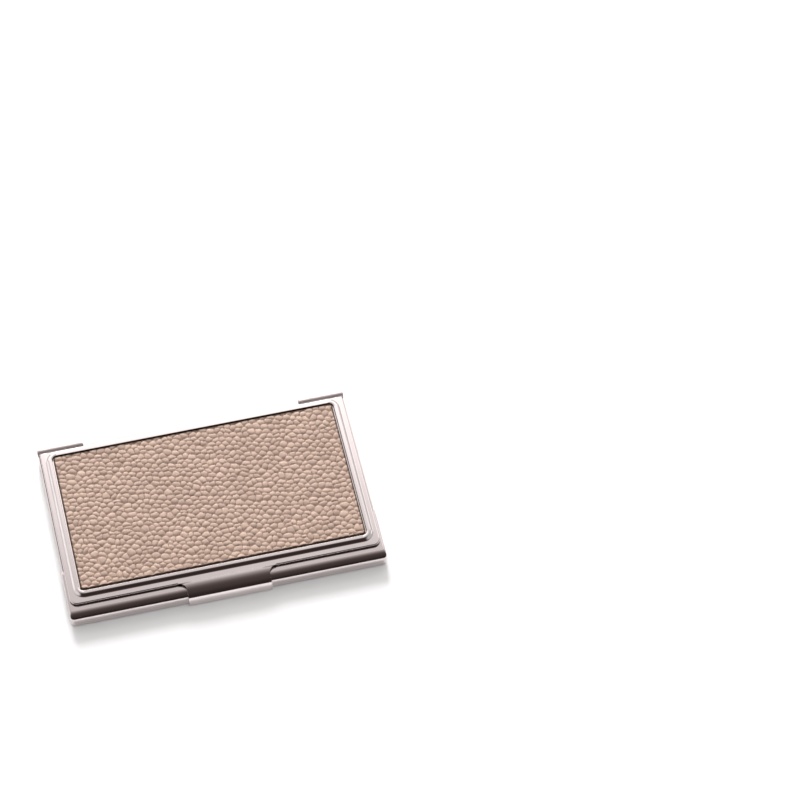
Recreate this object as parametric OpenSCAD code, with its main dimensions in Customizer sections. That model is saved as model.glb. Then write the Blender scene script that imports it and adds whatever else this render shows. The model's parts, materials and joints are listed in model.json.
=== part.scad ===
// Business card case: a polished steel tray with a card pocket, and a hinged
// lid with a leather panel, a rolled hinge and a spring latch.
// Frame: X across the width, Y from the latch (-Y) to the hinge (+Y), Z up.
// The origin is the centre of the footprint, on the surface that the case
// lies on. The case is drawn closed. Millimetres.

/* [Case] */
// Width of the card pocket, the widest part
case_w = 95; // [85:0.5:105]
// Depth from the pocket's front face to the back of the hinge
base_d = 59.8; // [56:0.1:66]
// Height of the pocket plate's top face
base_h = 5.2; // [5.2:0.1:7]
// Thickness of the steel sheet
sheet = 0.35; // [0.3:0.05:0.4]
// Outer radius of the bends along the tray's bottom edges
tray_bend = 1.0; // [0.8:0.1:1.2]
// Radius of the upright corners of the tray and the pocket plate
corner_r = 1.2; // [1:0.1:1.5]

/* [Pocket plate] */
// Outer radius of the bend over the front
pocket_bend = 2.6; // [2.4:0.1:2.8]
// Outer radius of the bends over the sides
side_bend = 0.6; // [0.5:0.1:1]
// Depth of the strip across the middle of the front
strip_d = 8; // [6:0.5:12]
// Depth of the ears at the two ends
ear_d = 16.5; // [14:0.5:20]
// Width of an ear at its tip
ear_w = 6.5; // [5:0.5:9]
// Radius of the sweep from the strip to an ear
sweep_r = 10; // [8.5:0.5:12]
// Gap between the skirt's lower edge and the surface below
skirt_gap = 0.7; // [0.65:0.05:1]

/* [Liner] */
// Thickness of the adhesive films
film = 0.1; // [0.05:0.05:0.1]
// Thickness of the textured liner plate
liner_t = 0.3; // [0.2:0.05:0.3]

/* [Lid] */
// Width of the lid
lid_w = 93.3; // [83:0.1:103]
// Radius of the lid's corners
lid_r = 2.2; // [1.5:0.1:2.5]
// Step from the pocket's front face back to the lid's front edge
lid_step = 4.1; // [3.7:0.1:4.6]
// Height of the lid's flange above the pocket plate's top face
lid_rise = 1; // [0.9:0.1:1.4]
// Gap between the lid's rim and the pocket plate
rim_gap = 0.2; // [0.15:0.05:0.4]
// Height of the ridge round the leather, above the flange
ridge_h = 0.85; // [0.7:0.05:1.1]
// Width of the ridge's flat top
ridge_w = 1; // [0.9:0.1:1.2]
// Width of the slope from the ridge down to the flange
slope_w = 1; // [0.8:0.1:1.1]

/* [Leather] */
// Width of the leather panel
leather_w = 85.8; // [76:0.1:86.8]
// Thickness of the leather
leather_t = 0.6; // [0.5:0.05:0.7]
// Thickness of the board under the leather
board_t = 0.3; // [0.2:0.05:0.4]
// Radius of the leather panel's corners
leather_r = 1.1; // [0.8:0.1:1.6]

/* [Hinge] */
// Outer radius of the rolled knuckles
knuckle_r = 1.1; // [1:0.05:1.1]
// Radius of the hinge pin
pin_r = 0.65; // [0.5:0.05:0.65]
// Running clearance between the pin and the lid's knuckle
pin_clear = 0.05; // [0.03:0.01:0.07]
// Length of the lid's knuckle
lid_knuckle = 66.4; // [50:0.2:70]
// Gap at each end of the lid's knuckle
knuckle_gap = 0.2; // [0.1:0.05:0.3]

/* [Latch] */
// Width of the latch tab
tab_w = 25; // [18:0.5:30]
// How far the tab stands ahead of the pocket's front face
tab_proj = 0.8; // [0.7:0.1:1.2]
// Outer radius of the tab's bend
tab_bend = 4.5; // [4:0.1:4.6]
// Radius of the fillets where the tab leaves the lid
tab_fillet = 2.2; // [1.5:0.1:2.3]
// Depth that the hook lip reaches in under the skirt
hook = 0.25; // [0.1:0.05:0.3]
// Outer radius of the turn from the tab's face into the hook lip
lip_bend = 0.8; // [0.6:0.1:0.9]

/* [Hidden] */
$fn = 64;
eps = 0.01;          // overlap of pieces that are joined, and overshoot of cuts
far = 40;            // overshoot of cuts that run right out of a piece

// Places along Y: the pocket's front face, the hinge's axis, the tray and the lid's edges
back_y = (base_d + tab_proj) / 2;
front_y = back_y - base_d;
axis_y = back_y - knuckle_r;
tray_w = case_w - 2 * sheet;
tray_front = front_y + sheet;
tray_d = back_y - tray_front;
tray_y = tray_front + tray_d / 2;
lid_clear = 0.2;     // gap between the lid's back edge and the end knuckles
rim_r = 0.4;         // outer radius of the bend into the lid's rim
lid_front = front_y + lid_step;
lid_back = axis_y - knuckle_r - lid_clear;

// Heights: the lid's flange, rim and recess, and the hinge's axis
flange_z = base_h + lid_rise;
rim_z = base_h + rim_gap;
ridge_z = flange_z + ridge_h;
axis_z = flange_z - knuckle_r;
recess_z = flange_z;        // floor of the recess for the leather
wall_z = base_h - 0.1;      // top of the tray's open side walls
low_wall_z = 2.4;           // top of the tray's walls inside the pocket's bends
notch_z = 2.9;              // top of the back wall below the lid's knuckle

// The leather sits in a recess whose margins to the lid's edges are these
seat_gap = 0.4;             // gap between the leather and the recess's wall
front_margin = 4;
back_margin = 2.4;
leather_y0 = lid_front + front_margin;
leather_y1 = lid_back - back_margin;
leather_d = leather_y1 - leather_y0;
leather_y = (leather_y0 + leather_y1) / 2;
leather_edge = 0.4;         // radius of the leather's rolled edge
board_inset = 0.4;          // the board and films stay this far inside the leather's outline
liner_margin = 0.4;         // gap between the liner's edges and the tray's walls
lip_z = 0.1;                // height of the hook lip's underside

ear_gap = 0.1;              // gap between an ear's tip and the tray's higher wall
swing_d = 4;                // depth of the gap in which the lid's knuckle swings
pin_inset = 0.3;            // how far the pin's ends stay inside the tray's sides
leaf_lap = 1;               // overlap of the knuckle's leaf with the flange
hollow_edge = 0.15;         // from the hollow's outer side to the edge of the ridge's top
film_inset = 1;             // the liner's film stays this far inside the liner
liner_r = 0.6;              // radius of the liner's corners

// A rectangle with round corners, centred.
module round_rect(w, d, r) {
    square([w - 2 * r, d], center = true);
    square([w, d - 2 * r], center = true);
    for (x = [-1, 1], y = [-1, 1])
        translate([x * (w / 2 - r), y * (d / 2 - r)])
            circle(r);
}

// The section of a block whose two lower edges are round.
module pan_section(w, h, r) {
    translate([-w / 2, r])
        square([w, h - r]);
    translate([-w / 2 + r, 0])
        square([w - 2 * r, h]);
    for (x = [-1, 1])
        translate([x * (w / 2 - r), r])
            circle(r);
}

// A block with round lower edges, of one radius at the sides and another at front
// and back, and with round upright corners.
module pan(w, d, h, side_r, front_r, upright_r) {
    intersection() {
        linear_extrude(h)
            round_rect(w, d, upright_r);
        rotate([90, 0, 0])
            translate([0, 0, -d])
                linear_extrude(2 * d)
                    pan_section(w, h, side_r);
        rotate([90, 0, 90])
            translate([0, 0, -w])
                linear_extrude(2 * w)
                    pan_section(d, h, front_r);
    }
}

// The same block upside down, with its top face at z = top.
module hood(w, d, h, side_r, front_r, upright_r, top) {
    translate([0, 0, top])
        mirror([0, 0, 1])
            pan(w, d, h, side_r, front_r, upright_r);
}

// A bar along X with a round section, centred on x = 0, on the hinge's axis.
module on_axis(length, r) {
    translate([-length / 2, axis_y, axis_z])
        rotate([0, 90, 0])
            cylinder(h = length, r = r);
}

// A block whose outline shrinks from grow to 0 over the height h, with round corners.
module ramp_block(w, d, r, grow, h) {
    for (x = [-1, 1], y = [-1, 1])
        translate([x * (w / 2 - r), y * (d / 2 - r), 0])
            cylinder(h = h, r1 = r + grow, r2 = r);
    ramp_bar(w - 2 * r, d, grow, h);
    rotate(90)
        ramp_bar(d - 2 * r, w, grow, h);
}

// One bar of that block: a trapezoid section carried along X.
module ramp_bar(length, d, grow, h) {
    rotate([90, 0, 90])
        translate([0, 0, -length / 2])
            linear_extrude(length)
                polygon([[-d / 2 - grow, 0], [d / 2 + grow, 0], [d / 2, h], [-d / 2, h]]);
}

// The tray: floor, walls and the two end knuckles, bent from one sheet.
module base_tray() {
    zone = lid_knuckle + 2 * knuckle_gap;
    color("silver")
        difference() {
            union() {
                difference() {
                    translate([0, tray_y, 0])
                        pan(tray_w, tray_d, wall_z, tray_bend, tray_bend, corner_r);
                    translate([0, tray_y, sheet])
                        pan(tray_w - 2 * sheet, tray_d - 2 * sheet, base_h,
                            tray_bend - sheet, tray_bend - sheet, corner_r - sheet);
                }
                // back wall, up to the middle of the knuckles
                translate([-tray_w / 2 + corner_r, back_y - sheet, notch_z])
                    cube([tray_w - 2 * corner_r, sheet, axis_z - notch_z]);
                on_axis(tray_w, knuckle_r);
            }
            // the walls are low where the pocket plate bends over them
            translate([-case_w, front_y - eps, low_wall_z])
                cube([2 * case_w, ear_d + ear_gap + eps, far]);
            // the lid's knuckle swings in this gap
            translate([-zone / 2, back_y - swing_d, notch_z])
                cube([zone, far, far]);
            on_axis(case_w + 2, pin_r);
        }
}

// The pocket plate: a top face with a U-shaped cut, and skirts over the tray's walls.
module pocket_plate() {
    hood_d = ear_d + far / 2;
    hood_y = front_y + hood_d / 2;
    hood_h = base_h - skirt_gap;
    inner_w = case_w - 2 * sheet;
    color("gainsboro")
        difference() {
            translate([0, hood_y, 0])
                hood(case_w, hood_d, hood_h, side_bend, pocket_bend, corner_r, base_h);
            translate([0, hood_y, 0])
                hood(inner_w, hood_d - 2 * sheet, hood_h, side_bend - sheet,
                     pocket_bend - sheet, corner_r - sheet, base_h - sheet);
            // behind the ears
            translate([-case_w, front_y + ear_d, -eps])
                cube([2 * case_w, far, far]);
            // between the ears, with a sweep at each end
            translate([0, front_y + strip_d, base_h - 2 * sheet])
                linear_extrude(far)
                    sweep_cut(case_w - 2 * ear_w, far, sweep_r);
        }
}

// A tall opening with its two front corners swept, its front edge on y = 0.
module sweep_cut(w, d, r) {
    translate([-w / 2, r])
        square([w, d]);
    translate([-w / 2 + r, 0])
        square([w - 2 * r, d]);
    for (x = [-1, 1])
        translate([x * (w / 2 - r), r])
            circle(r);
}

// A plate on the tray's floor, from z to z + t.
module floor_plate(z, t, inset) {
    w = tray_w - 2 * (sheet + liner_margin + inset);
    d = tray_d - 2 * (sheet + liner_margin + inset);
    translate([0, tray_y, z])
        linear_extrude(t)
            round_rect(w, d, liner_r);
}

module liner_adhesive() {
    color("wheat")
        floor_plate(sheet, film, film_inset);
}

module liner_plate() {
    color("lightgray")
        floor_plate(sheet + film, liner_t, 0);
}

module hinge_pin() {
    color("dimgray")
        on_axis(tray_w - 2 * pin_inset, pin_r);
}

// The lid: a flange with a turned-down rim, a ridge round the recess, and the middle knuckle.
module lid_frame() {
    lid_d = lid_back - lid_front;
    seat_w = leather_w + 2 * seat_gap;
    seat_d = leather_d + 2 * seat_gap;
    seat_r = leather_r + seat_gap;
    root_w = tab_w + 2 * tab_fillet;
    hollow = ridge_w - hollow_edge;
    color("silver")
        difference() {
            union() {
                difference() {
                    translate([0, lid_front + lid_d, 0])
                        hood(lid_w, 2 * lid_d, flange_z - rim_z, rim_r, rim_r, lid_r, flange_z);
                    translate([0, lid_front + lid_d, rim_z - eps])
                        linear_extrude(flange_z - sheet - rim_z + eps)
                            round_rect(lid_w - 2 * sheet, 2 * lid_d - 2 * sheet, lid_r - sheet);
                    translate([-lid_w, lid_back, -eps])
                        cube([2 * lid_w, 2 * lid_d, far]);
                }
                // ridge and slope
                translate([0, leather_y, flange_z - sheet])
                    ramp_block(seat_w + 2 * ridge_w, seat_d + 2 * ridge_w, seat_r + ridge_w,
                               slope_w, ridge_z - flange_z + sheet);
                // leaf and knuckle
                translate([-lid_knuckle / 2, lid_back - leaf_lap, flange_z - sheet])
                    cube([lid_knuckle, axis_y - lid_back + leaf_lap, sheet]);
                on_axis(lid_knuckle, knuckle_r);
            }
            // the recess
            translate([0, leather_y, recess_z])
                linear_extrude(far)
                    round_rect(seat_w, seat_d, seat_r);
            // the hollow side of the ridge
            translate([0, leather_y, -eps])
                linear_extrude(ridge_z - sheet)
                    difference() {
                        round_rect(seat_w + 2 * hollow, seat_d + 2 * hollow, seat_r + hollow);
                        round_rect(seat_w + 2 * sheet, seat_d + 2 * sheet, seat_r + sheet);
                    }
            // no rim where the latch tab leaves the flange
            translate([-root_w / 2, lid_front - eps, -eps])
                cube([root_w, rim_r + eps, flange_z - sheet + eps]);
            translate([-root_w / 2, lid_front - eps, -eps])
                cube([root_w, eps, far]);
            on_axis(lid_knuckle + 1, pin_r + pin_clear);
        }
}

// A quarter of a bent sheet: outer radius r, from straight left to straight down.
module bend_section(r) {
    intersection() {
        difference() {
            circle(r);
            circle(r - sheet);
        }
        translate([-r, -r])
            square(r);
    }
}

// The latch tab's section: tongue, bend, face and hook lip.
module tab_section(face_y) {
    r = min(tab_bend, lid_step + tab_proj - 0.1, flange_z - lip_z - lip_bend - 0.1);
    bend_y = face_y + r;
    bend_z = flange_z - r;
    lip_y = face_y + lip_bend;
    translate([bend_y, flange_z - sheet])
        square([lid_front - bend_y, sheet]);
    translate([bend_y, bend_z])
        mirror([0, 1])
            bend_section(r);
    translate([face_y, lip_z + lip_bend])
        square([sheet, bend_z - lip_z - lip_bend]);
    translate([lip_y, lip_z + lip_bend])
        bend_section(lip_bend);
    translate([lip_y, lip_z])
        square([front_y + hook - lip_y, sheet]);
}

// The latch tab: the flange's tongue, bent down ahead of the pocket, with a hook lip.
module latch_tab() {
    face_y = front_y - tab_proj;
    root_w = tab_w + 2 * tab_fillet;
    fillet_y = lid_front - tab_fillet;
    color("silver")
        difference() {
            rotate([90, 0, 90])
                translate([0, 0, -root_w / 2])
                    linear_extrude(root_w)
                        tab_section(face_y);
            // the sides are cut back to the tab's width, with a fillet at the root
            for (x = [-1, 1]) {
                translate([x * root_w / 2, fillet_y, -eps])
                    cylinder(h = far, r = tab_fillet);
                translate([x * root_w / 2 - tab_fillet, face_y - 1, -eps])
                    cube([2 * tab_fillet, fillet_y - face_y + 1, far]);
            }
        }
}

// A layer in the lid's recess, from z to z + t.
module seat_layer(z, t, inset) {
    translate([0, leather_y, z])
        linear_extrude(t)
            round_rect(leather_w - 2 * inset, leather_d - 2 * inset, leather_r);
}

module leather_adhesive() {
    color("wheat")
        seat_layer(recess_z, film, board_inset);
}

module leather_backing() {
    color("tan")
        seat_layer(recess_z + film, board_t, board_inset);
}

module leather_panel() {
    top = recess_z + film + board_t + leather_t;
    color("rosybrown")
        translate([0, leather_y, 0])
            hood(leather_w, leather_d, leather_t, leather_edge, leather_edge, leather_r, top);
}

base_tray();
pocket_plate();
liner_adhesive();
liner_plate();
hinge_pin();
lid_frame();
latch_tab();
leather_adhesive();
leather_backing();
leather_panel();
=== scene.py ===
# %% [markdown]
# # A business card case in polished steel and pebbled leather
#
# The case is a shallow steel tray with a pocket that holds the cards, a hinged
# steel lid with a leather panel let into it, and a springy latch tab at the front.
# Its frame comes packed from the CAD model: where each part is, which parts move
# together, and about which axes. This lesson gives that frame its looks. Sheet
# metal, leather and an embossed plate are worked out as numpy surfaces on the
# CAD's own sizes, and each gets a procedural material.

# %% Load the frame
import json
import math

import bpy
import bmesh
import numpy as np
from mathutils import Matrix, Vector


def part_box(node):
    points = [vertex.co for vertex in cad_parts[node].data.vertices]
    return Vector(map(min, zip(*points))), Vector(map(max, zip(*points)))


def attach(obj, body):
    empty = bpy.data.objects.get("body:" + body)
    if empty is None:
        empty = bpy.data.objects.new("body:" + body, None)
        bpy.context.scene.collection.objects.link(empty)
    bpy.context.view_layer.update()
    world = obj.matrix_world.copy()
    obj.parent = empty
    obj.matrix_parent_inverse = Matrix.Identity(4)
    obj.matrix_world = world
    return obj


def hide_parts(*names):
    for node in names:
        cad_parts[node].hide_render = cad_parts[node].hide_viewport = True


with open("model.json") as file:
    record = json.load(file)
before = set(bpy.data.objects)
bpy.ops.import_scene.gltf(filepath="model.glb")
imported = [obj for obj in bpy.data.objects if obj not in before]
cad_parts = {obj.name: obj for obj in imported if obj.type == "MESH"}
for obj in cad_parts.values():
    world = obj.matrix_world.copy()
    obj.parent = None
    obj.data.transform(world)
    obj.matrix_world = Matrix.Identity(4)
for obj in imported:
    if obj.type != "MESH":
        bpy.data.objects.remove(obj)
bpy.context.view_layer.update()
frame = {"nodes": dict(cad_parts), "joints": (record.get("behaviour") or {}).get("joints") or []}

# %% [markdown]
# ## Sizes
# Everything is in metres, in the frame of the CAD model: X runs across the case,
# Y from the latch to the hinge, and Z up. Each size that the solids can tell is
# read from their boxes, so the pieces fit without any fitting. The few that a box
# can't tell, such as the radius of a bend, are named here.

# %% Sizes from the frame, and the bends of the sheet metal
MM = 0.001

tray_lo, tray_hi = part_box("base_tray")
pocket_lo, pocket_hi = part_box("pocket_plate")
lid_lo, lid_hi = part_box("lid_frame")
tab_lo, tab_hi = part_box("latch_tab")
panel_lo, panel_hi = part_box("leather_panel")
liner_lo, liner_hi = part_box("liner_plate")
hinge = next(joint for joint in frame["joints"] if joint["name"] == "lid_hinge")
hinge_y, hinge_z = hinge["pos_m"][1:]

SHEET = 0.35 * MM
KNUCKLE_R = tray_hi.y - hinge_y
FLANGE_Z = hinge_z + KNUCKLE_R
TRAY_BEND = 1.0 * MM
POCKET_BEND = 2.6 * MM           # along the front of the pocket plate
SIDE_BEND = 0.6 * MM             # along its sides
TAB_BEND = 4.5 * MM
UPRIGHT_R = 1.2 * MM             # the upright corners of the tray and the pocket plate
LID_CORNER = 2.2 * MM
PANEL_CORNER = 1.1 * MM
LINER_CORNER = 0.6 * MM
LID_KNUCKLE = 33.2 * MM          # half of the lid knuckle's length
KNUCKLE_GAP = 0.2 * MM
HAIR = 0.1 * MM                  # the play between two sheets that lie together
print(f"sheet {SHEET / MM:.2f} mm, knuckle radius {KNUCKLE_R / MM:.2f} mm, flange at {FLANGE_Z / MM:.2f} mm")

# %% [markdown]
# ## Surfaces as arrays
# Sheet metal is a profile carried round an outline. It could be modelled by hand,
# with bevels on a box, but a bend whose radius changes along the way is easier to
# say as a formula. So an outline is an array of points, a surface is a stack of
# such rows, and the faces are the quads between neighbours. Whole arrays are
# worked out at once and handed to the mesh. A sheet gets its thickness from a
# Solidify modifier, its broken edges from a Bevel, and Weighted Normal keeps the
# flats optically flat, which a polished surface needs.


# %% Outlines and rows
def arc(centre, radius, start, stop, steps):
    """Points on a circle: centre + radius * (cos a, sin a), a in degrees from start to stop."""
    a = np.radians(np.linspace(start, stop, steps + 1))
    return np.column_stack([centre[0] + radius * np.cos(a), centre[1] + radius * np.sin(a)])


def side(points):
    """Points on a straight side as an array, which may be empty."""
    return np.array(points, float).reshape(-1, 2)


def ring(box, radius, front=(), right=(), back=(), left=(), steps=8, back_radius=None):
    """A rounded rectangle, anticlockwise from above: four quarter circles, joined by the stops on
    each side. The two corners at the back may have a radius of their own."""
    x0, y0, x1, y1 = box
    r = radius
    b = radius if back_radius is None else back_radius
    return np.vstack([
        side([(x, y0) for x in front]),
        arc((x1 - r, y0 + r), r, -90, 0, steps),
        side([(x1, y) for y in right]),
        arc((x1 - b, y1 - b), b, 0, 90, steps),
        side([(x, y1) for x in back]),
        arc((x0 + b, y1 - b), b, 90, 180, steps),
        side([(x0, y) for y in left]),
        arc((x0 + r, y0 + r), r, 180, 270, steps),
    ])


def grown(box, g):
    """The outline moved outwards by g on every side."""
    x0, y0, x1, y1 = box
    return (x0 - g, y0 - g, x1 + g, y1 + g)


def at_height(outline, z):
    """The outline as points in space, all at height z."""
    return np.column_stack([outline, np.full(len(outline), z)])


def carried(profile, across):
    """A (y, z) profile carried along X. across holds the x of each column: one row of them for the
    whole profile, or a row for each of its points."""
    profile = np.array(profile, float)
    x = np.broadcast_to(across, (len(profile), np.shape(across)[-1]))
    y, z = (np.broadcast_to(profile[:, [axis]], x.shape) for axis in (0, 1))
    return np.stack([x, y, z], axis=-1)


def bend(radius, steps=10):
    """A quarter bend, as pairs (way in from the face, way along the depth): (r - r sin a, r - r cos a)."""
    a = np.radians(np.linspace(0, 90, steps + 1))
    return np.column_stack([radius - radius * np.sin(a), radius - radius * np.cos(a)])


print("points round a rounded rectangle:", len(ring((0, 0, 1, 1), 0.1)))


# %% From rows to a piece
WELD = 1e-7                      # metres: points nearer than this are one point
SHARP = math.radians(50)         # edges sharper than this are cut edges


def quads(rows, wrap=False, flip=False, keep=None):
    """The points of stacked rows, and the quads between neighbouring rows and columns.
    keep is a function of the quads' middles that says which of them stay."""
    count, width = rows.shape[:2]
    index = np.arange(count * width).reshape(count, width)
    near = index if wrap else index[:, :-1]
    far = np.roll(index, -1, axis=1) if wrap else index[:, 1:]
    faces = np.stack([near[:-1], far[:-1], far[1:], near[1:]], axis=-1).reshape(-1, 4)
    points = rows.reshape(-1, 3)
    if keep is not None:
        faces = faces[keep(points[faces].mean(axis=1))]
    return points, faces[:, ::-1] if flip else faces


def cap(row, flip=False):
    """One flat face that closes a row."""
    order = np.arange(len(row))[None, :]
    return row, order[:, ::-1] if flip else order


def piece(name, skins):
    """One mesh object from several skins, welded where their points coincide."""
    points = np.vstack([skin[0] for skin in skins])
    starts = np.cumsum([0] + [len(skin[0]) for skin in skins[:-1]])
    faces = [face for skin, start in zip(skins, starts) for face in (skin[1] + start).tolist()]
    mesh = bpy.data.meshes.new(name)
    mesh.from_pydata(points, [], faces)
    work = bmesh.new()
    work.from_mesh(mesh)
    bmesh.ops.remove_doubles(work, verts=work.verts, dist=WELD)
    loose = [vertex for vertex in work.verts if not vertex.link_faces]
    bmesh.ops.delete(work, geom=loose, context="VERTS")
    work.to_mesh(mesh)
    work.free()
    mesh.shade_smooth()
    made = bpy.data.objects.new(name, mesh)
    bpy.context.scene.collection.objects.link(made)
    print(f"{name}: {len(mesh.vertices)} points, {len(mesh.polygons)} faces")
    return made


def as_sheet(made, edge=0.03 * MM):
    """Gives a skin the sheet's thickness on its inner side, and breaks the cut edges."""
    solid = made.modifiers.new("thickness", "SOLIDIFY")
    solid.thickness = SHEET
    solid.offset = -1
    solid.use_even_offset = True
    bevel = made.modifiers.new("cut edges", "BEVEL")
    bevel.width = edge
    bevel.segments = 2
    bevel.limit_method = "ANGLE"
    bevel.angle_limit = SHARP
    flats = made.modifiers.new("flats", "WEIGHTED_NORMAL")
    flats.weight = 60
    return made


def finish_piece(made, body, node, material):
    """Puts a piece on its body, in place of its CAD node, with its finish."""
    made.data.materials.append(material)
    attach(made, body)
    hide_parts(node)
    print(f"{made.name} rides on {body}, for {node}, in {material.name}")


# %% [markdown]
# ## Shader maths as Python
# A material here is built from plain expressions. A Link wraps a socket, and
# arithmetic on it adds Math nodes. A Finish is a material with one Principled
# shader: its constants go straight on the shader's sockets, and its patterns are
# Links. Patterns read Object coordinates in metres, so a scale of 1000 means
# features of about a millimetre.


# %% Links and finishes
class Link:
    """A value that runs through a node tree."""

    def __init__(self, graph, socket):
        self.graph = graph
        self.socket = socket

    def maths(self, operation, first, second):
        """A Math node on two values, each a Link or a number."""
        return self.graph.node("Math", {"operation": operation}, {0: first, 1: second})

    def __add__(self, other):
        return self.maths("ADD", self, other)

    def __sub__(self, other):
        return self.maths("SUBTRACT", self, other)

    def __rsub__(self, other):
        return self.maths("SUBTRACT", other, self)

    def __mul__(self, other):
        return self.maths("MULTIPLY", self, other)

    __radd__ = __add__
    __rmul__ = __mul__


class Graph:
    """A node tree, and a method that adds any node to it."""

    def __init__(self, tree):
        self.tree = tree

    def plug(self, socket, value):
        """Links a Link to the socket, or sets the socket to a constant."""
        if isinstance(value, Link):
            self.tree.links.new(value.socket, socket)
        else:
            socket.default_value = value

    def node(self, kind, settings=None, inputs=None, out=0):
        """A node of that kind. Its settings are set first, then its sockets; returns one output."""
        made = self.tree.nodes.new("ShaderNode" + kind)
        for key, value in (settings or {}).items():
            if key == "stops":
                ramp = made.color_ramp.elements
                while len(ramp) < len(value):
                    ramp.new(0.5)
                for stop, (place, colour) in zip(ramp, value):
                    stop.position = place
                    stop.color = colour
            else:
                setattr(made, key, value)
        for key, value in (inputs or {}).items():
            self.plug(made.inputs[key], value)
        return Link(self, made.outputs[out])

    def mix(self, share, low, high):
        """The colour low where share is 0, high where it is 1."""
        return self.node("Mix", {"data_type": "RGBA"}, {0: share, 6: low, 7: high}, 2)

    def band(self, value, low, high):
        """value, stretched so that low becomes 0 and high becomes 1, and held there."""
        sockets = {"Value": value, "From Min": low, "From Max": high}
        return self.node("MapRange", {"interpolation_type": "SMOOTHSTEP"}, sockets)


class Finish(Graph):
    """A material with one Principled shader. Its patterns read Object coordinates."""

    def __init__(self, name, constants):
        self.material = bpy.data.materials.new(name)
        self.material.use_nodes = True
        super().__init__(self.material.node_tree)
        self.shader = self.tree.nodes["Principled BSDF"]
        self.feed(constants)

    def feed(self, values):
        """Sets the shader's sockets: a number stays a constant, a Link is a pattern."""
        for key, value in values.items():
            self.plug(self.shader.inputs[key], value)

    def place(self, scale=(1, 1, 1)):
        """Object coordinates, stretched by scale."""
        here = self.node("TexCoord", out="Object")
        return self.node("Mapping", {}, {"Vector": here, "Scale": scale})

    def noise(self, scale, detail, stretch=(1, 1, 1)):
        """Cloudy noise from 0 to 1, with scale features to the metre."""
        spot = self.place(stretch)
        return self.node("TexNoise", {}, {"Vector": spot, "Scale": scale, "Detail": detail}, "Fac")

    def bump(self, height, distance, under=None):
        """The normal of a surface raised by height times distance, over another bump or none."""
        sockets = {"Height": height, "Distance": distance, "Strength": 1.0}
        if under is not None:
            sockets["Normal"] = under
        return self.node("Bump", {}, sockets)


# %% [markdown]
# ## Steel
# The case is bright rolled steel that has been buffed. It is nearly a mirror, and
# what makes it real is what disturbs the mirror: faint polishing lines along the
# rolling direction, a few cloudy patches where it has been handled, and a very
# slight waviness of the thin sheet. An image of scratches would do it as well, but
# noise has no seams and keeps its scale on every piece. One function makes all the
# steels, which differ only in colour and in how matt they are.


# %% Steel finishes
STEEL_TONES = (0.68, 0.62, 0.615, 1), (0.74, 0.68, 0.675, 1)
POCKET_TONES = (0.59, 0.535, 0.53, 1), (0.65, 0.59, 0.585, 1)
PIN_TONES = (0.40, 0.39, 0.39, 1), (0.52, 0.51, 0.51, 1)


def steel(name, tones, roughness, satin=0):
    """Polished steel: colour and roughness drift with cloudy noise, and fine lines run along X.
    satin is how much rougher the steel is where it was rolled round the hinge's axis."""
    made = Finish(name, {"Metallic": 1.0})
    clouds = made.noise(55, 3)
    lines = made.noise(5200, 2, (0.02, 1, 1))
    scuffs = made.band(made.noise(900, 4, (0.12, 1, 1)), 0.62, 0.78)
    waves = made.noise(42, 0)
    wavy = made.bump(waves, 0.004 * MM)
    along = made.node("SeparateXYZ", {}, {0: made.place()}, "Y")
    rolled = made.band(along, hinge_y - 1.3 * KNUCKLE_R, hinge_y - KNUCKLE_R)
    made.feed({
        "Base Color": made.mix(clouds, *tones),
        "Roughness": roughness + satin * rolled + 0.04 * clouds + 0.04 * lines + 0.08 * scuffs,
        "Normal": made.bump(lines, 0.0006 * MM, wavy),
    })
    return made.material


bright_steel = steel("bright_steel", STEEL_TONES, 0.03)
tray_steel = steel("tray_steel", STEEL_TONES, 0.04, satin=0.45)
pocket_steel = steel("pocket_steel", POCKET_TONES, 0.05)
pin_steel = steel("pin_steel", PIN_TONES, 0.22)
print("steel finishes:", bright_steel.name, tray_steel.name, pocket_steel.name, pin_steel.name)

# %% [markdown]
# ## The tray
# The tray is folded up from one sheet: a floor, low walls all round, and at the
# back two lengths that roll up into the end knuckles of the hinge. It could be cut
# from a bevelled box, but then the knuckles would need pieces of their own. Nested
# rounded rectangles give the floor, the bend and the walls in one go. The walls are
# then cut where they aren't wanted: they stay low under the pocket plate, and the
# back wall is cut away where the lid's knuckle swings.


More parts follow.
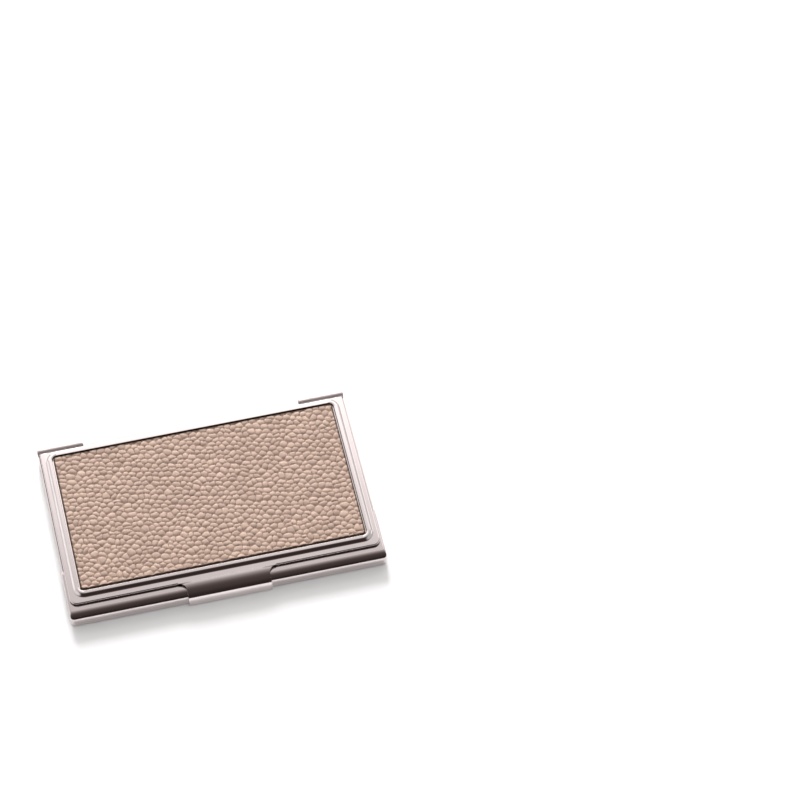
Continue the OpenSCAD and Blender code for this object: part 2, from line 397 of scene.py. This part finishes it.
# %% Tray
def tray_skins():
    """Rows of one outline: floor, quarter bend, then upright walls. Each knuckle is an arc of
    295 degrees about the hinge's axis, at the top of a strip of the back wall."""
    outline = (tray_lo.x, tray_lo.y, tray_hi.x, tray_hi.y)
    cut_y = pocket_hi.y + HAIR
    low_z, notch_z, wall_z = 2.4 * MM, 2.9 * MM, pocket_hi.z - HAIR
    knuckle_x = LID_KNUCKLE + KNUCKLE_GAP
    floor_r = 0.3 * MM

    def level(inset, z):
        """The outline at height z. Its corners shrink from the walls' radius to the floor's."""
        radius = floor_r + (UPRIGHT_R - floor_r) * (1 - inset / TRAY_BEND)
        outline_here = ring(grown(outline, -inset), radius, (), (cut_y,), (knuckle_x, -knuckle_x), (cut_y,))
        return at_height(outline_here, z)

    rows = [level(inset, z) for inset, z in bend(TRAY_BEND)]
    rows += [level(0, z) for z in (low_z, notch_z, wall_z)]
    corner_x = tray_hi.x - UPRIGHT_R

    def wanted(middle):
        """What is left of the walls once the two openings are cut."""
        x, y, z = middle.T
        under_pocket = (z > low_z) & (y < cut_y)
        behind_lid = (z > notch_z) & (y > hinge_y) & (abs(x) < knuckle_x)
        return ~(under_pocket | behind_lid)

    def off_corner(middle):
        """The strip under a knuckle stops where the tray's upright corner rounds away from it."""
        x, y, z = middle.T
        return (z > hinge_z) | (abs(x) < corner_x) | (y < hinge_y + 0.9 * KNUCKLE_R)

    skins = [quads(np.array(rows), wrap=True, keep=wanted), cap(rows[0], flip=True)]
    roll = arc((hinge_y, hinge_z), KNUCKLE_R, 0, 295, 40)
    profile = np.vstack([[(tray_hi.y, wall_z)], roll])
    for columns in ((tray_hi.x, corner_x, knuckle_x), (-knuckle_x, -corner_x, tray_lo.x)):
        skins.append(quads(carried(profile, columns), keep=off_corner))
    return skins


tray = as_sheet(piece("tray_shell", tray_skins()))
finish_piece(tray, "base", "base_tray", tray_steel)

# %% [markdown]
# ## The pocket plate
# A second, slightly wider plate hooks over the front of the tray. Its top has a
# wide U cut out of it, so that a card can be pushed out with a thumb, and its
# front and sides bend down over the tray's walls. A Bevel modifier gives one width
# to all its edges, and this bend is wide in front and tight at the sides. So the
# top is a ruled surface from the U to the start of the bends, and the bends and
# skirts carry on from there, with a radius that is a function of the place.


# %% Pocket plate
def pocket_skins():
    """Rows from the U-shaped cut, over the flat, round the bends and down the skirt. The bend's
    radius is small at the sides and large at the front, and eases over in the corners."""
    strip, ear, sweep = 8 * MM, 6.5 * MM, 10 * MM
    flat_r = 0.4 * MM
    x0, x1 = pocket_lo.x, pocket_hi.x
    front, end = pocket_lo.y, pocket_hi.y
    corner_steps, side_steps = 8, 10
    stops = (-0.25 * x1, 0.25 * x1)
    centre = (x1 - ear - sweep, front + strip + sweep)
    tip = math.degrees(math.asin((end - centre[1]) / sweep))
    inner = np.vstack([
        arc((-centre[0], centre[1]), sweep, 180 - tip, 270, side_steps + corner_steps),
        side([(x, front + strip) for x in stops]),
        arc(centre, sweep, 270, 360 + tip, side_steps + corner_steps),
    ])
    corner = np.sin(np.linspace(0, math.pi / 2, corner_steps + 1)) ** 2
    none = np.zeros(side_steps)
    share = np.concatenate([none, corner, np.ones(len(stops)), corner[::-1], none])

    def outer(turn):
        """The outline at a turn of the bends: 0 on the flat, pi / 2 on the skirt."""
        r = flat_r + (UPRIGHT_R - flat_r) * math.sin(turn)
        left, right = x0 + SIDE_BEND * (1 - math.sin(turn)), x1 - SIDE_BEND * (1 - math.sin(turn))
        low = front + POCKET_BEND * (1 - math.sin(turn))
        run = np.linspace(end, low + r, side_steps + 1)[:-1]
        outline = np.vstack([
            side([(left, y) for y in run]),
            arc((left + r, low + r), r, 180, 270, corner_steps),
            side([(x, low) for x in stops]),
            arc((right - r, low + r), r, 270, 360, corner_steps),
            side([(right, y) for y in run[::-1]]),
        ])
        drop = (SIDE_BEND + (POCKET_BEND - SIDE_BEND) * share) * (1 - math.cos(turn))
        return np.column_stack([outline, pocket_hi.z - drop])

    rows = [at_height(inner, pocket_hi.z)]
    rows += [outer(turn) for turn in np.linspace(0, math.pi / 2, 19)]
    skirt = rows[-1].copy()
    skirt[:, 2] = pocket_lo.z
    return [quads(np.array(rows + [skirt]), flip=True)]


pocket = as_sheet(piece("pocket_cover", pocket_skins()))
finish_piece(pocket, "base", "pocket_plate", pocket_steel)

# %% [markdown]
# ## The lid
# The lid is one stamping. From the middle outwards it is a flat seat for the
# leather, a small wall, a rounded ridge that frames the leather, a slope down to
# a narrow flange, and a rim that turns down at the edge. At the front the flange
# runs on flat into the latch tab, and at the back it rolls up into the middle
# knuckle. A polished ridge shows every flaw of its curve as a kink in what it
# mirrors, so the curve is a formula and not a bevel: a short list of (way out,
# height) pairs round the leather's outline, and then one round the lid's own.


# %% Lid
seat_gap = 0.4 * MM
seat_box = grown((panel_lo.x, panel_lo.y, panel_hi.x, panel_hi.y), seat_gap)
seat_r = PANEL_CORNER + seat_gap
lid_edge = (lid_lo.x, lid_lo.y, lid_hi.x, hinge_y - KNUCKLE_R - KNUCKLE_GAP)
ridge_z = lid_hi.z
rim_z = pocket_hi.z + 0.2 * MM
tab_root = tab_hi.x
RIM_R = 0.35 * MM
BACK_CORNER = 0.02 * MM          # the flange is cut square at the hinge
FINE_EDGE = 0.012 * MM           # the lid and the tab meet in a seam that should hardly show


def lid_skins():
    """Rows round the seat, then round the lid's edge. The ridge has a round inner edge and a flat
    crown, and its outer side falls as half a cosine wave, (1 + cos(pi t)) / 2. The knuckle is an
    arc of 305 degrees about the hinge's axis."""
    inner_r, crown_w, slope_w = 0.12 * MM, 0.9 * MM, 1.08 * MM
    under, foot_r = 0.4 * MM, 0.08 * MM
    stops = {"front": (-tab_root, tab_root), "back": (LID_KNUCKLE, -LID_KNUCKLE)}

    def round_seat(out, z):
        return at_height(ring(grown(seat_box, out), seat_r + out, **stops), z)

    def round_edge(inset, z):
        x0, y0, x1, y1 = lid_edge
        box = (x0 + inset, y0 + inset, x1 - inset, y1)
        return at_height(ring(box, LID_CORNER - inset, back_radius=BACK_CORNER, **stops), z)

    rows = [round_seat(-under, FLANGE_Z), round_seat(-foot_r, FLANGE_Z), round_seat(0, FLANGE_Z + foot_r)]
    turn = np.radians(np.linspace(180, 90, 7))
    centre_z = ridge_z - inner_r
    rows += [round_seat(inner_r + inner_r * math.cos(a), centre_z + inner_r * math.sin(a)) for a in turn]
    fall = np.linspace(0, 1, 25)
    waves = FLANGE_Z + (ridge_z - FLANGE_Z) * (1 + np.cos(math.pi * fall)) / 2
    rows += [round_seat(crown_w + slope_w * t, z) for t, z in zip(fall, waves)]
    flange_row = len(rows)
    rows += [round_edge(inset, FLANGE_Z - drop) for inset, drop in bend(RIM_R, 8)]
    rows += [round_edge(0, rim_z)]
    rows = np.array(rows)
    flange_front, lid_front, lid_back = rows[flange_row, 0, 1], lid_edge[1], lid_edge[3]

    def wanted(middle):
        """The rim is left out where the tab carries on, and along the back."""
        x, y, z = middle.T
        at_tab = (y < flange_front) & (abs(x) < tab_root)
        at_back = (z < FLANGE_Z) & (y > lid_back - 0.75 * BACK_CORNER)
        return ~(at_tab | at_back)

    tongue = carried([(flange_front, FLANGE_Z), (lid_front, FLANGE_Z)], (-tab_root, tab_root))
    roll = arc((hinge_y, hinge_z), KNUCKLE_R, 90, -215, 40)
    leaf = carried(np.vstack([[(lid_back, FLANGE_Z)], roll]), (LID_KNUCKLE, -LID_KNUCKLE))
    return [quads(rows, wrap=True, flip=True, keep=wanted), cap(rows[0]),
            quads(tongue, flip=True), quads(leaf, flip=True)]


lid = as_sheet(piece("lid_shell", lid_skins()), FINE_EDGE)
finish_piece(lid, "lid", "lid_frame", bright_steel)

# %% [markdown]
# ## The latch tab
# The tab carries the flange on past the lid's edge. Two fillets narrow it, then it
# bends down in front of the pocket and ends in a small lip that snaps under the
# skirt. It is springy, so it has a body of its own and flexes about its root. A
# curve with a width at each of its points says all of this, so the tab is rows
# across a path, and its fillets are nothing but a change of width.


# %% Latch tab
def tab_skins():
    """Rows across the tab, from its root to its lip. In the fillets the half width at a
    way t from the root is root - sqrt(r^2 - (r - t)^2)."""
    fillet, lip_r, hook = 2.2 * MM, 0.8 * MM, 0.25 * MM
    bend_y = tab_lo.y + TAB_BEND
    flat = tab_hi.y - bend_y
    t = fillet * (1 - np.cos(np.linspace(0, math.pi / 2, 14)))
    turned = np.arcsin(np.clip((t - flat) / TAB_BEND, 0, 1))
    turned = np.append(turned, np.linspace(turned[-1], math.pi / 2, 21)[1:])
    ahead = np.append(t, flat + TAB_BEND * np.sin(turned[len(t):]))
    narrow = np.clip(fillet - ahead, 0, None)
    widths = tab_root - np.sqrt(fillet**2 - narrow**2)
    path = np.column_stack([tab_hi.y - ahead, FLANGE_Z - TAB_BEND * (1 - np.cos(turned))])
    lip = arc((tab_lo.y + lip_r, tab_lo.z + lip_r), lip_r, 180, 270, 8)
    path = np.vstack([path, lip, [(pocket_lo.y + hook, tab_lo.z)]])
    widths = np.append(widths, np.full(len(lip) + 1, tab_root - fillet))
    across = np.linspace(-1, 1, 9)
    return [quads(carried(path, widths[:, None] * across), flip=True)]


tab = as_sheet(piece("latch_spring", tab_skins()), FINE_EDGE)
finish_piece(tab, "latch", "latch_tab", bright_steel)

# %% [markdown]
# ## Plates with a relief
# The leather and the embossed liner are both thin plates whose tops are height
# fields. One function lays a fine grid over a rounded rectangle, asks a relief
# function for the height at each point, and closes the plate with straight edges
# and a flat back. The grid's corners are pulled in to the round ones by sending
# the square [0, 1] x [0, 1] to a quarter disc along rays.


# %% Grids with round corners
def round_grid(half_x, half_y, radius, step):
    """X and Y over a rounded rectangle, and each point's distance from its edge."""
    x, y = np.meshgrid(np.linspace(-half_x, half_x, round(2 * half_x / step) + 1),
                       np.linspace(-half_y, half_y, round(2 * half_y / step) + 1))
    a = np.clip(abs(x) - (half_x - radius), 0, None)
    b = np.clip(abs(y) - (half_y - radius), 0, None)
    both = (a > 0) & (b > 0)
    length = np.where(both, np.hypot(a, b), 1)
    pull = np.where(both, np.maximum(a, b) / length, 1)
    x = np.where(both, np.sign(x) * (half_x - radius + a * pull), x)
    y = np.where(both, np.sign(y) * (half_y - radius + b * pull), y)
    q_x, q_y = abs(x) - (half_x - radius), abs(y) - (half_y - radius)
    past_core = np.hypot(np.clip(q_x, 0, None), np.clip(q_y, 0, None))
    outside = past_core + np.minimum(np.maximum(q_x, q_y), 0)
    return x, y, np.clip(radius - outside, 0, None)


def relief_plate(name, low, high, radius, step, relief):
    """A plate between two corners. relief(x, y, rim) gives the height below the top, and a map
    from attribute names to values for the material to read."""
    middle = (low + high) / 2
    x, y, rim = round_grid((high.x - low.x) / 2, (high.y - low.y) / 2, radius, step)
    below, maps = relief(x, y, rim)
    x, y = np.pad(x, 1, mode="edge"), np.pad(y, 1, mode="edge")
    z = np.pad(high.z - below, 1, constant_values=low.z)
    rows = np.stack([x + middle.x, y + middle.y, z], axis=-1)
    points, faces = quads(rows)
    index = np.arange(x.size).reshape(x.shape)
    back = np.concatenate([index[0, :-1], index[:-1, -1], index[-1, :0:-1], index[:0:-1, 0]])[::-1]
    mesh = bpy.data.meshes.new(name)
    mesh.from_pydata(points, [], faces.tolist() + [back.tolist()])
    for label, values in maps.items():
        layer = mesh.attributes.new(label, "FLOAT", "POINT")
        layer.data.foreach_set("value", np.pad(values, 1, mode="edge").ravel().astype(np.float32))
    mesh.shade_smooth()
    made = bpy.data.objects.new(name, mesh)
    bpy.context.scene.collection.objects.link(made)
    print(f"{name}: {len(mesh.vertices)} points, {len(mesh.polygons)} faces")
    return made


# %% [markdown]
# ## Pebbled leather
# Tumbled leather has a skin of rounded pebbles with soft valleys between them. A
# bump in the shader would be lighter, but these pebbles are big enough to shade
# one another and to show at the panel's edge, so they are real relief. Their cells
# are a Voronoi pattern: seeds on a jittered brick lattice, and at each point the
# distance to the nearest seed, F1, and to the second nearest, F2. F2 - F1 is zero
# in a valley and grows towards a pebble's middle. Two layers of noise bend the
# lattice, so that its rows wander, and a finer wrinkle runs over the pebbles.


# %% Noise and cells on arrays
def value_noise(x, y, cell, seed):
    """Random values on a square lattice, eased between lattice points with 6t^5 - 15t^4 + 10t^3."""
    table = np.random.default_rng(seed).random((128, 128))
    i, j = np.floor(x / cell).astype(int), np.floor(y / cell).astype(int)
    u, v = x / cell - i, y / cell - j
    u, v = (t**3 * (t * (6 * t - 15) + 10) for t in (u, v))
    i0, i1, j0, j1 = i % 128, (i + 1) % 128, j % 128, (j + 1) % 128
    low = table[i0, j0] * (1 - u) + table[i1, j0] * u
    high = table[i0, j1] * (1 - u) + table[i1, j1] * u
    return low * (1 - v) + high * v


def cells(x, y, pitch_x, pitch_y, jitter, seed):
    """F1, F2 and a random value of the nearest cell, for seeds on a jittered brick lattice."""
    table = np.random.default_rng(seed).random((3, 128, 128))
    j = np.floor(y / pitch_y).astype(int)
    nearest = np.ones(x.shape)
    second = np.ones(x.shape)
    owner = np.zeros(x.shape)
    for dj in range(-2, 3):
        row = j + dj
        shift = 0.5 * (row % 2)
        i = np.floor(x / pitch_x - shift).astype(int)
        for di in range(-2, 3):
            column = i + di
            dx, dy, tone = table[:, column % 128, row % 128]
            seed_x = (column + 0.5 + shift + jitter * (dx - 0.5)) * pitch_x
            seed_y = (row + 0.5 + jitter * (dy - 0.5)) * pitch_y
            distance = np.hypot(x - seed_x, y - seed_y)
            closer = distance < nearest
            second = np.where(closer, nearest, np.minimum(second, distance))
            owner = np.where(closer, tone, owner)
            nearest = np.where(closer, distance, nearest)
    return nearest, second, owner


# %% Leather panel
GRAIN_TURN = math.radians(-14)   # the panel is cut at this angle to the hide's rows of pebbles


def leather_relief(x, y, rim):
    """Pebbles: round domes sqrt(1 - (1 - t)^2), where t grows from a valley to a pebble's middle,
    times a cap sqrt(1 - (F1 / r)^2) that rounds off the cells' corners. The lattice is turned,
    swayed by noise, and squeezed across its rows, so that the pebbles are wider than high. The
    plate's edge is rolled: the rim drops along a quarter circle."""
    sway, squeeze = 0.8 * MM, 1.2
    pitch, row = 2.2 * MM, 1.9 * MM
    cap_r, roll_r = 1.3 * MM, 0.45 * MM
    depth, sunk = 0.5 * MM, 0.01 * MM
    across = x * math.cos(GRAIN_TURN) + y * math.sin(GRAIN_TURN)
    along = y * math.cos(GRAIN_TURN) - x * math.sin(GRAIN_TURN)
    bend_x = across + sway * (value_noise(x, y, 3.1 * MM, 3) - 0.5)
    bend_y = along + sway * (value_noise(x, y, 2.7 * MM, 4) - 0.5)
    near, second, tone = cells(bend_x, squeeze * bend_y, pitch, row, 0.6, 5)
    valley = (second - near) / MM
    dome = np.sqrt(1 - (1 - np.clip(valley / 0.7, 0, 1)) ** 2)
    wrinkle = value_noise(x, y, 0.55 * MM, 8)
    crown = np.sqrt(np.clip(1 - (near / cap_r) ** 2, 0, 1))
    height = dome * (0.1 + 0.9 * crown) * (0.84 + 0.16 * tone) + 0.14 * (wrinkle - 0.5)
    # pebble is 0 in a valley and 1 on a pebble: the shader paints shade into the valleys with it, and makes
    # the tops glossier
    pebble = np.clip(valley / 0.35, 0, 1)
    roll = roll_r - np.sqrt(np.clip(roll_r**2 - np.clip(roll_r - rim, 0, None) ** 2, 0, None))
    relief = depth * (1 - np.clip(height, 0, 1)) * np.clip(rim / roll_r, 0.3, 1)
    below = sunk + relief + 0.9 * roll
    return below, {"grain": pebble, "tone": tone, "rim": rim / MM}


def leather():
    """Beige leather: painted shade in the valleys, tops whose tone drifts at random, painted shade
    along its rolled edge, and fine creases and pores. The attributes come from the relief."""
    made = Finish("pebbled_leather", {"Specular IOR Level": 0.45})
    grain = made.node("Attribute", {"attribute_name": "grain"}, out="Fac")
    tone = made.node("Attribute", {"attribute_name": "tone"}, out="Fac")
    clouds = made.noise(120, 3)
    pores = made.noise(9000, 3)
    creases = made.noise(3200, 4)
    worn = made.band(clouds + 0.5 * tone, 0.35, 1.05)
    top = made.mix(worn, (0.34, 0.243, 0.195, 1), (0.415, 0.302, 0.243, 1))
    # painted shade: the valleys and the fine creases are painted dark brown, where shade falls between the
    # pebbles
    skin = made.mix(made.band(grain + 0.15 * creases, 0.0, 1.0), (0.14, 0.085, 0.058, 1), top)
    # painted shade: over its outer 0.25 to 0.6 mm the leather turns nearly black, for the shade on its
    # rolled edge and in the gap beside it
    edge = made.node("Attribute", {"attribute_name": "rim"}, out="Fac")
    made.feed({
        "Base Color": made.mix(made.band(edge, 0.25, 0.6), (0.05, 0.026, 0.017, 1), skin),
        "Roughness": 0.52 - 0.14 * grain + 0.10 * clouds,
        "Normal": made.bump(creases + 0.4 * pores, 0.05 * MM),
    })
    return made.material


panel = relief_plate("leather_skin", panel_lo, panel_hi, PANEL_CORNER, 0.22 * MM, leather_relief)
finish_piece(panel, "lid", "leather_panel", leather())

# %% [markdown]
# ## The embossed liner
# The plate on the tray's floor is rolled with a barleycorn pattern: little lens
# shaped grains in rows, each row shifted by half a grain. A plain margin runs
# round it. The grains could be copies of one small mesh, but a height field makes
# them all in one sum, and light catches each of them as it does on the real plate.


# %% Liner plate
def liner_relief(x, y, rim):
    """Grains in offset rows: each is the root of a paraboloid 1 - u^2 - v^2, held at 0 below. They
    fade out towards the plain margin."""
    length, row = 2.1 * MM, 1.05 * MM
    margin, fade, depth = 1.3 * MM, 0.5 * MM, 0.09 * MM
    height = np.zeros(x.shape)
    for shift in (0, 1):
        v = (y / row - shift) / 2
        u = x / length - 0.5 * shift
        u, v = u - np.round(u), (v - np.round(v)) * 2
        height = np.maximum(height, 1 - (u / 0.5) ** 2 - (v / 0.72) ** 2)
    inside = np.clip((rim - margin) / fade, 0, 1)
    height = np.sqrt(height) * inside
    return depth * (1 - height), {"grain": height}


def embossed():
    """The liner's steel: the tops of the grains are polished, the ground between them is satin and painted
    darker, as shade.
    """
    made = Finish("embossed_steel", {"Metallic": 1.0})
    grain = made.node("Attribute", {"attribute_name": "grain"}, out="Fac")
    clouds = made.noise(60, 3)
    specks = made.noise(6000, 2)
    made.feed({
        # painted shade: the colour is darker in the ground between the grains and lighter on their tops
        "Base Color": made.mix(grain * 0.8 + 0.2 * clouds, (0.32, 0.295, 0.3, 1), (0.52, 0.485, 0.49, 1)),
        "Roughness": 0.34 - 0.12 * grain + 0.08 * specks,
        "Normal": made.bump(specks, 0.002 * MM),
    })
    return made.material


liner = relief_plate("liner_sheet", liner_lo, liner_hi, LINER_CORNER, 0.25 * MM, liner_relief)
finish_piece(liner, "base", "liner_plate", embossed())

# %% [markdown]
# ## Parts that stay as the CAD made them
# The hinge pin is a plain rod, and only its ends show. The board and the adhesive
# films are flat layers inside the case. Nothing on them is finer than their solids
# say, so new meshes would add nothing, and they only get finishes.


# %% Finishes for the carried-over parts
def dull(name, dark, light, roughness, scale):
    """A dull layer: its colour drifts between two tones, and a fine bump breaks its surface."""
    made = Finish(name, {})
    mottle = made.noise(scale, 3)
    fibres = made.noise(scale * 12, 2, (0.3, 1, 1))
    made.feed({
        "Base Color": made.mix(mottle, dark, light),
        "Roughness": roughness + 0.15 * fibres,
        "Normal": made.bump(fibres, 0.01 * MM),
    })
    return made.material


board = dull("grey_board", (0.32, 0.25, 0.19, 1), (0.45, 0.37, 0.29, 1), 0.75, 400)
film = dull("adhesive_film", (0.72, 0.64, 0.48, 1), (0.82, 0.76, 0.62, 1), 0.35, 250)
for node, material in (
    ("hinge_pin", pin_steel),
    ("leather_backing", board),
    ("leather_adhesive", film),
    ("liner_adhesive", film),
):
    slots = frame["nodes"][node].data.materials
    slots.clear()
    slots.append(material)
    print(f"carried over: {node} in {material.name}")

# %% [markdown]
# ## The table
# The case lies on a white table that is too large for its edge to be seen. It is
# one face, because a flat plane needs no more, and its white drifts a little, as
# paint does. It is part of the stage and not of the case.


# %% Floor
def stage_floor():
    """A square of white paint at height 0."""
    half = 3.0
    mesh = bpy.data.meshes.new("table_top")
    corners = [(-half, -half, 0), (half, -half, 0), (half, half, 0), (-half, half, 0)]
    mesh.from_pydata(corners, [], [(0, 1, 2, 3)])
    floor = bpy.data.objects.new("table_top", mesh)
    bpy.context.scene.collection.objects.link(floor)
    paint = Finish("white_table", {"Specular IOR Level": 0.1})
    white = paint.mix(paint.noise(8, 2), (0.81, 0.81, 0.815, 1), (0.84, 0.84, 0.84, 1))
    paint.feed({"Base Color": white, "Roughness": 0.9})
    mesh.materials.append(paint.material)
    print(f"table: {2 * half:.0f} m square")


stage_floor()

# %% [markdown]
# ## The room
# Polished steel shows its surroundings, so the surroundings are most of its look.
# Walls and a ceiling could be built round the case, but only their brightness in
# each direction counts, so the room is a ramp on the world's background. Behind
# the case there is a bright window. The room in front, where the camera stands, is
# dark, which draws the dark lines along the bends. The side walls are pale.


# %% World
WINDOW = 1.9                     # how bright the window is
SIGHT = (0.12, 0.993, 0)         # along the table, away from the camera
CROSS = (0.993, -0.12, 0)        # along the table, to the camera's right


def warm(level):
    """A grey of that level, as a share of the window's; the darker it is, the browner."""
    brown = 0.25 * math.exp(-level / 0.25)
    share = level / WINDOW
    return (share, (0.965 - brown) * share, (0.955 - 1.2 * brown) * share, 1)


def studio_world():
    """The room's brightness. v is the direction's part along SIGHT, and w its part along CROSS. A
    ramp over v runs from the dark front, over the zenith, to the window behind; for large w the
    dark gives way to the side walls, and the left one is the brighter."""
    world = bpy.data.worlds.new("studio")
    bpy.context.scene.world = world
    world.use_nodes = True
    graph = Graph(world.node_tree)
    way = graph.node("TexCoord", out="Generated")
    dot = {"operation": "DOT_PRODUCT"}
    along = graph.node("VectorMath", dot, {0: way, 1: SIGHT}, "Value")
    across = graph.node("VectorMath", dot, {0: way, 1: CROSS}, "Value")
    aside = graph.node("Math", {"operation": "ABSOLUTE"}, {0: across})
    front = (-1.0, 0.03), (-0.94, 0.035), (-0.77, 0.065), (-0.5, 0.085), (-0.34, 0.105), (-0.17, 0.15)
    ceiling = (0.0, 0.25), (0.17, 0.37), (0.34, 0.58), (0.5, 0.82), (0.512, 1.0), (0.522, 1.15)
    behind = (0.54, 1.6), (0.56, WINDOW), (0.66, 1.8), (0.8, 1.3), (1.0, 1.1)
    levels = front + ceiling + behind
    stops = [(0.5 + 0.5 * v, warm(level)) for v, level in levels]
    room = graph.node("ValToRGB", {"stops": stops}, {0: along * 0.5 + 0.5})
    sides = graph.band(aside, 0.45, 0.85)
    left, right = (level / WINDOW for level in (0.95, 0.62))
    walls = graph.mix(graph.band(across, -0.3, 0.3), (left, left, left, 1), (right, right, right, 1))
    colour = graph.mix(sides, room, walls)
    background = graph.tree.nodes["Background"]
    graph.plug(background.inputs["Color"], colour)
    graph.plug(background.inputs["Strength"], WINDOW)
    print(f"room: {len(stops)} levels, from {levels[0][1]} to {WINDOW}")


studio_world()

# %% [markdown]
# ## The lights
# A large soft light behind and above the case throws the soft shadow in front of
# it, and a second one from the front keeps that shadow pale. Neither shows in the
# steel, where it would be a hard white dot on each bend. A third, low and behind,
# does the opposite: it only shows in reflections, and gives the back edge and the
# pebbles of the leather their gleam.


# %% Lights
def soft_light(name, place, size, power):
    """A round light of that size in metres and power in watts, which points at the case."""
    data = bpy.data.lights.new(name, "AREA")
    data.shape = "DISK"
    data.size = size
    data.energy = power
    lamp = bpy.data.objects.new(name, data)
    lamp.location = place
    lamp.rotation_euler = (-Vector(place)).to_track_quat("-Z", "Y").to_euler()
    bpy.context.scene.collection.objects.link(lamp)
    return lamp


key = soft_light("key", (0.05, 1.15, 0.6), 0.6, 27)
fill = soft_light("fill", (0.1, -0.6, 1.6), 1.2, 11)
key.visible_glossy = fill.visible_glossy = False
sheen = soft_light("sheen", (0.05, 1.6, 0.4), 0.9, 7)
sheen.visible_diffuse = False
print("lights:", [f"{lamp.name} {lamp.data.energy:.0f} W" for lamp in (key, fill, sheen)])

# %% [markdown]
# ## The camera
# The camera looks down on the case from the front, through a long lens from about
# a metre away, so that its far edge is hardly shorter than its near one. The plain
# Standard view keeps the white of the table white.


# %% Camera
CAMERA_PLACE = (-0.0712, -0.5272, 0.8812)
CAMERA_AIM = (0.0645, 0.0265, 0)
CAMERA_LENS = 154.2              # millimetres, on a sensor of 36
CAMERA_ROLL = 0.66               # degrees


def add_camera(place, aim, lens, roll):
    """A camera at place that looks at aim, turned by roll degrees about its own axis."""
    data = bpy.data.cameras.new("camera")
    data.lens = lens
    data.sensor_width = 36
    camera = bpy.data.objects.new("camera", data)
    look = (Vector(aim) - Vector(place)).to_track_quat("-Z", "Y").to_matrix().to_4x4()
    camera.matrix_world = Matrix.Translation(place) @ look @ Matrix.Rotation(math.radians(roll), 4, "Z")
    bpy.context.scene.collection.objects.link(camera)
    bpy.context.scene.camera = camera
    data.clip_start, data.clip_end = 0.05, 20
    print(f"camera: {lens} mm lens, {(Vector(aim) - Vector(place)).length:.2f} m from its aim")


add_camera(CAMERA_PLACE, CAMERA_AIM, CAMERA_LENS, CAMERA_ROLL)
scene = bpy.context.scene
scene.view_settings.view_transform = "Standard"
scene.view_settings.look = "None"
